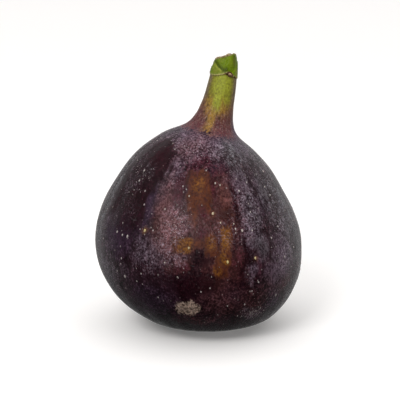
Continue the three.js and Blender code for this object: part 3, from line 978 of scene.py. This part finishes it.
def makeSkinMaterial():
    # bare skin, bloom, pores, the healed rub, the neck and the stub, one over another
    material, tree, shader = newMaterial("figSkin")
    look, at, place, level = skinLook, stalkLevels, millimetres(tree), valueOf(tree, "level")
    noises = skinNoises(tree, place)
    fine, net, crisp = noises["fine"], noises["net"], noises["crisp"]
    colour, ochreMask = bareSkin(tree, noises)
    colour, bloomMask = waxed(tree, noises, colour)
    dotMask = poreMask(tree, place, level)
    colour = blend(tree, dotMask, colour, look["speck"])
    scarMask = raggedOf(tree, product(tree, valueOf(tree, "scar"), 2.4), net, 0.8, 0.4)
    scarColour = blend(tree, spread(tree, net, 0.0, 0.7), look["scarDark"], look["scarTan"])
    colour = blend(tree, scarMask, colour, scarColour)

    # the neck starts over a ragged line, and the stub at the scars
    neckIn = spread(tree, addTo(tree, level, net, 1.875), *at["neckStarts"])
    colour = blend(tree, neckIn, colour, neckColour(tree, noises, level))
    # the stub: green, with olive, pale bract and painted shade over its fold
    stub = layMarks(tree, noises, stalkLook["green"], stalkLook, "stubOlive", "stubPale", "stubDeepAndShade")
    stub = blend(tree, valueOf(tree, "ringLine"), stub, stalkLook["ringPale"])
    stubIn = spread(tree, level, *at["stubStarts"])
    colour = blend(tree, stubIn, colour, stub)

    # a grain: the colour times 2 to the power of a noise, weaker in the ochre and up the stalk
    depth = product(tree, addTo(tree, 1.0, valueOf(tree, "ochre"), -0.25),
                    spread(tree, level, *at["grainFades"], look["grainDepth"], 0.9),
                    addTo(tree, 1.0, stubIn, -0.6))
    power = product(tree, centred(tree, mixed(tree, fine, 0.6, noises["middle"])), depth)
    colour = blend(tree, 1.0, colour, calc(tree, "POWER", 2.0, power), "MULTIPLY")
    connect(tree, shader.inputs["Base Color"], colour)

    rough = 0.22
    for mask, weight in ((bloomMask, 0.10), (valueOf(tree, "rubbed"), -0.11), (ochreMask, 0.30),
                         (neckIn, 0.20)):
        rough = addTo(tree, rough, mask, weight)
    connect(tree, shader.inputs["Roughness"], addTo(tree, rough, centred(tree, fine), 0.12, clamp=True))
    shader.inputs["Specular IOR Level"].default_value = look["shine"]
    shader.inputs["Sheen Weight"].default_value = look["sheen"]
    shader.inputs["Sheen Roughness"].default_value = 0.4
    shader.inputs["Sheen Tint"].default_value = (0.85, 0.88, 0.9, 1)
    height = addTo(tree, product(tree, fine, 0.45), crisp, 0.45)
    height = addTo(tree, addTo(tree, height, noises["fleck"], 0.15), dotMask, 0.6)
    addBump(tree, shader, height, 0.9, 0.00013)
    return material


def makeSkin():
    # the closed skin: one pole in the eye, one in the cut, and closed rows between
    def perVertex(grid):
        # the values of the rows between the poles, then of the cut's pole and of the eye's
        return np.concatenate([grid[1:-1].reshape(-1, *grid.shape[2:]), grid[-1, :1], grid[0, :1]])

    rows, columns = skinAngles.shape
    skin = makePiece("skin", perVertex(skinPoints), cappedFaces(rows - 2, columns),
                     makeSkinMaterial())
    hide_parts("fig")
    for name, grid in skinFields(skinAngles, skinLevels).items():
        setValues(skin, name, perVertex(grid))
    flow = skin.data.attributes.new("flow", "FLOAT_VECTOR", "POINT")
    parts = [perVertex(grid) for grid in (np.cos(skinAngles), np.sin(skinAngles),
                                          skinLevels / figShape["girthRadius"])]
    flow.data.foreach_set("vector", np.stack(parts, 1).astype(np.float32).ravel())
    print("skin made:", len(skin.data.vertices), "points")


makeSkin()

# Lenticels, the pale pores that stand out from the skin.
lenticelShape = {
    "count": 330,
    "halfWidth": (0.09, 0.20),    # millimetres
    "heroWidth": 0.78,            # of the half width in lenticelHeroes
    "proud": (0.045, 0.22),       # height over the skin, and more of it for each mm of half width
    "sunk": 0.05,
    "long": 1.45,                 # length up the fig for each millimetre of width
    "sides": 8,
    "rings": (0.45, 0.8, 1.0),
    "levels": (4.0, 52.0),
    "seed": 31,
    # grains of wax in clusters: angle and level of the middle, spread in degrees and in millimetres, how
    # many, and the greatest half width; the dense cluster at -12 degrees, level 35 is partly painted
    # glints of a highlight
    "waxGrains": [(31.8, 9, 4, 0.8, 60, 0.17), (-47, 43.4, 5, 1.1, 14, 0.11),
                  (-52, 40.4, 5, 1.2, 10, 0.11), (55, 24, 7, 3.6, 40, 0.11), (38, 12, 7, 1.5, 14, 0.11),
                  (-62, 18, 8, 4, 14, 0.11), (-28, 50.5, 12, 1.4, 22, 0.11),
                  (-12, 35, 3.6, 2.2, 70, 0.09), (62, 40, 8, 6, 24, 0.11), (36, 46, 10, 3, 20, 0.11),
                  (150, 30, 30, 12, 60, 0.11), (-130, 30, 30, 12, 60, 0.11)],
    "waxLeast": 0.05,
}
lenticelLook = {"pale": (0.66, 0.59, 0.56), "warm": (0.75, 0.60, 0.24), "dull": (0.20, 0.15, 0.14),
                "crumb": 0.12, "contrast": 2.0, "rough": (0.45, 0.7), "bump": (0.5, 0.00004)}


def scatterLenticels():
    # random places, spread evenly over the area: the level is drawn with a chance that grows
    # with the radius there
    shape = lenticelShape
    rng = np.random.default_rng(shape["seed"])
    levels = np.linspace(*shape["levels"], 400)
    weight = np.cumsum(sideRadius(levels))
    level = np.interp(rng.random(shape["count"]), weight / weight[-1], levels)
    angle = rng.uniform(-math.pi, math.pi, shape["count"])
    low, high = shape["halfWidth"]
    size = low + (high - low) * rng.random(shape["count"]) ** 2
    tone = rng.uniform(0.1, 0.7, shape["count"])
    heroAngle, heroLevel, heroSize, heroGlow = np.transpose(lenticelHeroes)
    sets = [(angle, level, size, tone, 0 * tone),
            (np.radians(heroAngle), heroLevel, shape["heroWidth"] * heroSize, 0 * heroGlow + 1, heroGlow)]
    for middle, height, spreadAround, spreadUp, count, widest in shape["waxGrains"]:
        sets.append((np.radians(rng.normal(middle, spreadAround, count)),
                     np.clip(rng.normal(height, spreadUp, count), 3, 53),
                     rng.uniform(shape["waxLeast"], widest, count), rng.uniform(0.7, 1.0, count),
                     np.zeros(count)))
    return [np.concatenate(column) for column in zip(*sets)]


def lenticelColour(tree, crumb, look):
    # dull to pale with the tone, then yellow with the warmth, and dull again in the crumb
    colour = blend(tree, valueOf(tree, "tone"), look["dull"], look["pale"])
    colour = blend(tree, valueOf(tree, "warmth"), colour, look["warm"])
    return blend(tree, product(tree, crumb, 0.35), colour, look["dull"])


def makeLenticels():
    # each is an oval dome: rings whose height falls as 1 less the square of the share of the
    # width, with the last ring under the skin
    shape = lenticelShape
    angle, level, size, tone, warm = scatterLenticels()
    centre, normal = skinAt(angle, level), skinNormal(angle, level)
    up = skinAt(angle, level + 0.3) - centre
    up = up / np.linalg.norm(up, axis=1, keepdims=True)
    side = np.cross(up, normal)
    turn, share = ringAngles(shape["sides"]), np.array(shape["rings"])[None, :, None]
    reach = share * size[:, None, None]
    proud = shape["proud"][0] + shape["proud"][1] * size
    x, y = reach * np.cos(turn), reach * shape["long"] * np.sin(turn)
    z = proud[:, None, None] * (1 - share ** 2) - shape["sunk"] * (share == 1) + 0 * x
    rings = centre[:, None, None] + sum(part[..., None] * along[:, None, None]
                                        for part, along in ((x, side), (y, up), (z, normal)))
    sides, ringCount = shape["sides"], len(shape["rings"])
    top = sides * ringCount                        # the highest point comes after the rings
    points = np.concatenate([rings.reshape(len(angle), top, 3),
                             (centre + proud[:, None] * normal)[:, None]], 1)
    ring = np.arange(sides)
    quads = gridFaces(ringCount, sides)[:, ::-1]
    caps = np.stack([np.full(sides, top), ring, (ring + 1) % sides], 1)
    start = (top + 1) * np.arange(len(angle))[:, None, None]
    base = np.arange(top - sides, top)[::-1]
    faces = [*(quads + start).reshape(-1, 4), *(caps + start).reshape(-1, 3), *(base + start[:, 0])]
    cork = crumbMaterial("lenticelCork", lenticelLook, lenticelColour)
    lenticels = makePiece("lenticels", points, faces, cork)
    setValues(lenticels, "tone", np.repeat(tone, top + 1))
    setValues(lenticels, "warmth", np.repeat(warm, top + 1))
    print("lenticels made:", len(angle))


makeLenticels()

# The dried face of the cut.
cutShape = {"rings": 26, "columns": 144, "lift": 0.02, "ragged": 0.22, "overhang": -0.16,
            "bead": 0.2, "fibres": 0.14, "rimDrop": 0.35, "underShare": 0.86, "underDrop": 0.55}
cutLook = {"rind": (0.10, 0.12, 0.012), "fibre": (0.42, 0.34, 0.16), "pith": (0.62, 0.52, 0.34),
           "dried": (0.13, 0.065, 0.03),
           "crumb": 0.32, "contrast": 2.6, "rough": (0.55, 0.8), "bump": (0.6, 0.00012)}


def cutColour(tree, crumb, look):
    # pith in the middle, fibre round it and rind at the rim, with dried specks between
    share = valueOf(tree, "reach")
    reach = addTo(tree, share, centred(tree, crumb), 0.16)
    colour = blend(tree, spread(tree, reach, 0.30, 0.62), look["pith"], look["fibre"])
    colour = blend(tree, spread(tree, reach, 0.96, 1.0), colour, look["rind"])
    specks = product(tree, spread(tree, crumb, 0.42, 0.68), spread(tree, share, 0.55, 0.95, 0.25, 1.0))
    return blend(tree, specks, colour, look["dried"])


def makeCutEnd():
    # a dished disc over the cut, with low random fibres and a ragged bead near its rim, which
    # turns down over the edge of the stub
    s, c = figShape, cutShape
    angle, share = ringAngles(c["columns"]), np.linspace(1, 0.04, c["rings"])[:, None]
    uneven = wrapNoise(angle, 0, 26, 1, 41) - 0.5
    coarse = wrapNoise(angle, 8 * share, 40, 1, 42) - 0.5
    radius = (s["cutRadius"] + c["overhang"] + c["ragged"] * uneven) * share
    dish = s["cutDish"] * smoothStep(1 - share, 0.08, 0.34)
    bead = c["bead"] * np.exp(-((share - 0.92) / 0.07) ** 2) * (1 + 1.4 * uneven)
    lift = (c["lift"] + bead + c["fibres"] * coarse * smoothStep(1 - share, 0, 0.1)
            - c["rimDrop"] * (share > 0.985))
    angles, level = np.broadcast_to(angle, radius.shape), np.full(radius.shape, s["cutHeight"])
    top = placeOnFig(angles, radius, level, level + lift, dish)
    under = placeOnFig(angles[:1], radius[:1] * c["underShare"], level[:1], level[:1] - c["underDrop"])
    points = np.vstack([under[0], top.reshape(-1, 3), top[-1].mean(0), under[0].mean(0)])
    cutEnd = makePiece("cutEnd", points, cappedFaces(c["rings"] + 1, c["columns"]),
                       crumbMaterial("driedCut", cutLook, cutColour))
    reach = np.broadcast_to(share, radius.shape).ravel()
    setValues(cutEnd, "reach", np.concatenate([np.ones(c["columns"]), reach, [0, 1]]))
    print("cut end made")


makeCutEnd()

# Scars of the bracts, round the top of the stalk, and the dried stub of one bract.
scarShape = {"columns": 420, "sides": 10, "halfHeight": 0.20, "proud": 0.13, "above": 0.16,
             "out": 0.12}
budShape = {"angle": 26.0, "level": 69.05, "halfWidth": 0.95, "halfHeight": 0.68, "rise": 0.34,
            "rings": 15, "columns": 48, "rootDepth": 0.4}
scarLook = {"pale": (0.46, 0.42, 0.13), "tan": (0.30, 0.19, 0.08), "brown": (0.115, 0.052, 0.020),
            "core": (0.46, 0.29, 0.18),
            "crumb": 0.22, "contrast": 2.8, "rough": (0.5, 0.75), "bump": (0.5, 0.00006)}


def barkColour(tree, crumb, look):
    # pale with tan crumb, brown over a ragged edge, and paler in the core of the bud
    colour = blend(tree, spread(tree, crumb, 0.45, 0.8, 0.0, 0.8), look["pale"], look["tan"])
    brown = raggedOf(tree, valueOf(tree, "brown"), crumb, 1.1, 0.25)
    colour = blend(tree, brown, colour, look["brown"])
    return blend(tree, valueOf(tree, "core"), colour, look["core"])


def makeBractScars(material):
    # an oval rope of uneven thickness, which follows the sagging line of the scars
    s, c = figShape, scarShape
    angle, turn = ringAngles(c["columns"])[:, None], ringAngles(c["sides"])
    uneven = 0.55 + 0.9 * wrapNoise(angle, 0, 70, 1, 51)
    wobble = 0.12 * (wrapNoise(angle, 0, 34, 1, 52) - 0.5)
    level = s["ringHeight"] + c["above"] + wobble + c["halfHeight"] * uneven * np.sin(turn)
    radius = sideRadius(s["ringHeight"] + 0.3) + c["out"] + c["proud"] * uneven * np.cos(turn)
    points = placeOnFig(angle, radius, level, level - ringSag(angle, level))
    scars = makePiece("bractScars", points, gridFaces(c["columns"], c["sides"], joinRows=True),
                      material)
    brown = np.maximum(0.16, between(np.degrees(wrapAngle(angle)), -8, 4, 52, 66))
    setValues(scars, "brown", np.repeat(brown, c["sides"]))
    setValues(scars, "core", np.zeros(level.size))


def makeBractBud(material):
    # an oval of rings on the skin: a rounded core, a groove round it, and a curled rim that is
    # open at the upper right; the outermost ring goes under the skin
    b = budShape
    share = np.linspace(1, 0, b["rings"])[:-1, None]
    turn = ringAngles(b["columns"])
    opening = np.exp(-(wrapAngle(turn - 0.7) / 0.5) ** 2)
    rim = np.exp(-((share - 0.80) / 0.13) ** 2) * (1 - 0.75 * opening)
    core = 0.8 * np.exp(-(share / 0.42) ** 2)
    rise = b["rise"] * (rim + core) - 0.12 * (share > 0.97) + 0.02
    middle = math.radians(b["angle"])
    angle = middle + share * b["halfWidth"] * np.cos(turn) / figShape["ringRadius"]
    level = b["level"] + share * b["halfHeight"] * (np.sin(turn) + 0.25 * np.cos(turn))
    ends = skinAt(np.full(2, middle), np.full(2, b["level"]), np.array([b["rise"] * 0.8, -b["rootDepth"]]))
    points = np.vstack([skinAt(angle, level, rise).reshape(-1, 3), ends])
    bud = makePiece("bractBud", points, cappedFaces(len(share), b["columns"]), material)
    for name, across, ending in (("brown", 0.45 + 0.6 * smoothStep(share, 0.40, 0.62), [0.3, 1]),
                                 ("core", 1 - smoothStep(share, 0.35, 0.58), [1, 0])):
        setValues(bud, name, np.concatenate([np.broadcast_to(across, level.shape).ravel(), ending]))


barkScar = crumbMaterial("bractScar", scarLook, barkColour)
makeBractScars(barkScar)
makeBractBud(barkScar)
print("bract scars made")

# Scales that close the eye, underneath.
eyeShape = {
    # reach of the root, number, turn, height of the root and of the tip, half width
    "rings": [(3.3, 9, 0.1, 0.10, 0.42, 1.25), (2.4, 7, 0.9, 0.30, 0.70, 1.10),
              (1.5, 5, 0.3, 0.55, 0.95, 0.90)],
    "along": 12, "across": 9, "thickness": 0.16, "tipReach": 0.34, "arch": 0.22, "least": 0.03,
}
eyeLook = {"tan": (0.26, 0.13, 0.06), "brown": (0.08, 0.03, 0.018), "wine": (0.05, 0.012, 0.016),
           "crumb": 0.3, "contrast": 2.4, "rough": (0.5, 0.75), "bump": (0.5, 0.00008)}


def eyeColour(tree, crumb, look):
    # wine at the root, then brown, and tan at the tip
    tip = addTo(tree, valueOf(tree, "tip"), centred(tree, crumb), 0.5)
    colour = blend(tree, spread(tree, tip, 0.2, 0.75), look["wine"], look["brown"])
    return blend(tree, spread(tree, tip, 0.75, 1.0), colour, look["tan"])


def scaleFaces(rows, columns):
    # a closed blade of two grids, the second above the first, with a wall round their edge
    count, last = rows * columns, (rows - 1) * columns
    grid = gridFaces(rows, columns, joinColumns=False)
    edge = np.concatenate([np.arange(columns), np.arange(1, rows) * columns + columns - 1,
                           last + np.arange(columns - 2, -1, -1), np.arange(rows - 2, 0, -1) * columns])
    after = np.roll(edge, -1)
    return [*grid[:, ::-1], *(grid + count), *np.stack([edge, after, after + count, edge + count], 1)]


def makeEyeScales():
    # each scale is a closed blade from its root, near the mouth of the eye, to its point near
    # the middle; its half width falls as the square root of 1 less the 1.6 power of the share
    # along it, and it arches across
    e = eyeShape
    centre = placeOnFig(*np.zeros((4, 1)))[0]
    along, across = np.meshgrid(np.linspace(0, 1, e["along"]), np.linspace(-1, 1, e["across"]),
                                indexing="ij")
    points = []
    for reach, count, turn, rootRise, tipRise, half in e["rings"]:
        outward = reach + (e["tipReach"] - reach) * along
        width = half * np.sqrt(np.clip(1 - along ** 1.6, 0.004, 1)) * across
        rise = rootRise + (tipRise - rootRise) * along + e["arch"] * across ** 2 * (1 - along)
        for angle in turn + ringAngles(count):
            x = centre[0] + outward * math.sin(angle) + width * math.cos(angle)
            y = centre[1] - outward * math.cos(angle) + width * math.sin(angle)
            for thick in (0, e["thickness"] * (1 - 0.6 * along)):
                points.append(np.stack([x, y, np.maximum(rise + thick, e["least"])], -1))
    blade, scaleCount = scaleFaces(e["along"], e["across"]), len(points) // 2
    faces = [face + 2 * along.size * k for k in range(scaleCount) for face in blade]
    scales = makePiece("eyeScales", points, faces, crumbMaterial("eyeScale", eyeLook, eyeColour))
    setValues(scales, "tip", np.tile(along.ravel(), len(points)))
    print("eye scales made:", scaleCount)


makeEyeScales()

stageLook = {
    # power, size, degrees to the right of the front, and degrees up
    "key": (2.6, 0.30, -27.0, 38.0), "fill": (2.1, 0.40, 59.0, 3.0), "window": (2.2, 0.13, -25.0, 33.0),
    "skyStrength": 2.3, "skySpread": 110.0,    # broad even light from above
    "worldBack": 0.52, "worldFront": 0.012, "worldRight": 0.28, "worldUnder": 0.4,
    "floorColour": (0.94, 0.921, 0.908), "floorGlowColour": (1, 0.985, 0.97), "floorGlow": 0.15,
    "floorHalf": 3.0,
}
cameraSet = {"rise": 15.0, "away": 0.48, "frameWidth": 0.1083, "aim": (0.0004, 0.0, 0.03477),
             "sensor": 36}


def addToScene(name, data):
    # a new object that isn't a piece of the fig
    thing = bpy.data.objects.new(name, data)
    bpy.context.scene.collection.objects.link(thing)
    return thing


def makeFloor():
    # a wide white square at the height of the fig's foot
    look, half = stageLook, stageLook["floorHalf"]
    mesh = bpy.data.meshes.new("floor")
    mesh.from_pydata([(-half, -half, 0), (half, -half, 0), (half, half, 0), (-half, half, 0)], [],
                     [(0, 1, 2, 3)])
    material, tree, shader = newMaterial("floorWhite")
    for name, value in (("Base Color", look["floorColour"]), ("Emission Color", look["floorGlowColour"]),
                        ("Emission Strength", look["floorGlow"]), ("Roughness", 0.9),
                        ("Specular IOR Level", 0.1)):
        connect(tree, shader.inputs[name], value)
    mesh.materials.append(material)
    floor = addToScene("floor", mesh)
    floor.visible_glossy = floor.visible_diffuse = False    # its glare stays off the dark skin


def addSoftbox(name, power, size, turn, rise, away=0.75):
    # a square light at an angle to the right of the front and an angle up, facing the fig
    data = bpy.data.lights.new(name, "AREA")
    data.shape, data.size, data.energy = "SQUARE", size, power
    light = addToScene(name, data)
    turn, rise, height = math.radians(turn), math.radians(rise), 0.035
    light.location = (away * math.cos(rise) * math.sin(turn), -away * math.cos(rise) * math.cos(turn),
                      height + away * math.sin(rise))
    light.rotation_euler = (math.pi / 2 - rise, 0, turn)
    return light


def makeLights():
    # two soft boxes, a small one that gives the highlight, and an even sky
    look = stageLook
    for name in ("key", "fill"):
        addSoftbox(name, *look[name]).visible_glossy = False
    addSoftbox("window", *look["window"]).visible_diffuse = False    # gives only the highlight
    sky = bpy.data.lights.new("sky", "SUN")
    sky.energy, sky.angle = look["skyStrength"], math.radians(look["skySpread"])
    addToScene("sky", sky).visible_glossy = False


def makeWorld():
    # white all round: brighter behind and to the right, dim from below
    look = stageLook
    world = bpy.data.worlds.new("studio")
    bpy.context.scene.world = world
    world.use_nodes = True
    tree = world.node_tree
    direction = addNode(tree, "ShaderNodeTexCoord").outputs["Generated"]
    axes = addNode(tree, "ShaderNodeSeparateXYZ", {"Vector": direction}).outputs
    strength = product(
        tree, spread(tree, axes["Y"], 0.15, 0.9, look["worldFront"], look["worldBack"]),
        spread(tree, axes["X"], -1, 1, 1 - look["worldRight"], 1 + look["worldRight"]),
        spread(tree, axes["Z"], -0.65, -0.3, look["worldUnder"], 1))
    back = tree.nodes["Background"]
    connect(tree, back.inputs["Color"], (1, 1, 1))
    connect(tree, back.inputs["Strength"], strength)


def makeCamera():
    # as far from its aim as away, and rise degrees above it; frameWidth is what it sees there
    c = cameraSet
    data = bpy.data.cameras.new("camera")
    data.sensor_width = c["sensor"]
    data.lens = c["sensor"] * c["away"] / c["frameWidth"]
    data.clip_start, data.clip_end = 0.01, 20
    camera = addToScene("camera", data)
    rise, aim = math.radians(c["rise"]), c["aim"]
    camera.location = (aim[0], aim[1] - c["away"] * math.cos(rise), aim[2] + c["away"] * math.sin(rise))
    camera.rotation_euler = (math.pi / 2 - rise, 0, 0)
    bpy.context.scene.camera = camera


makeFloor()
makeLights()
makeWorld()
makeCamera()
bpy.context.scene.view_settings.view_transform = "Standard"
print("stage made")
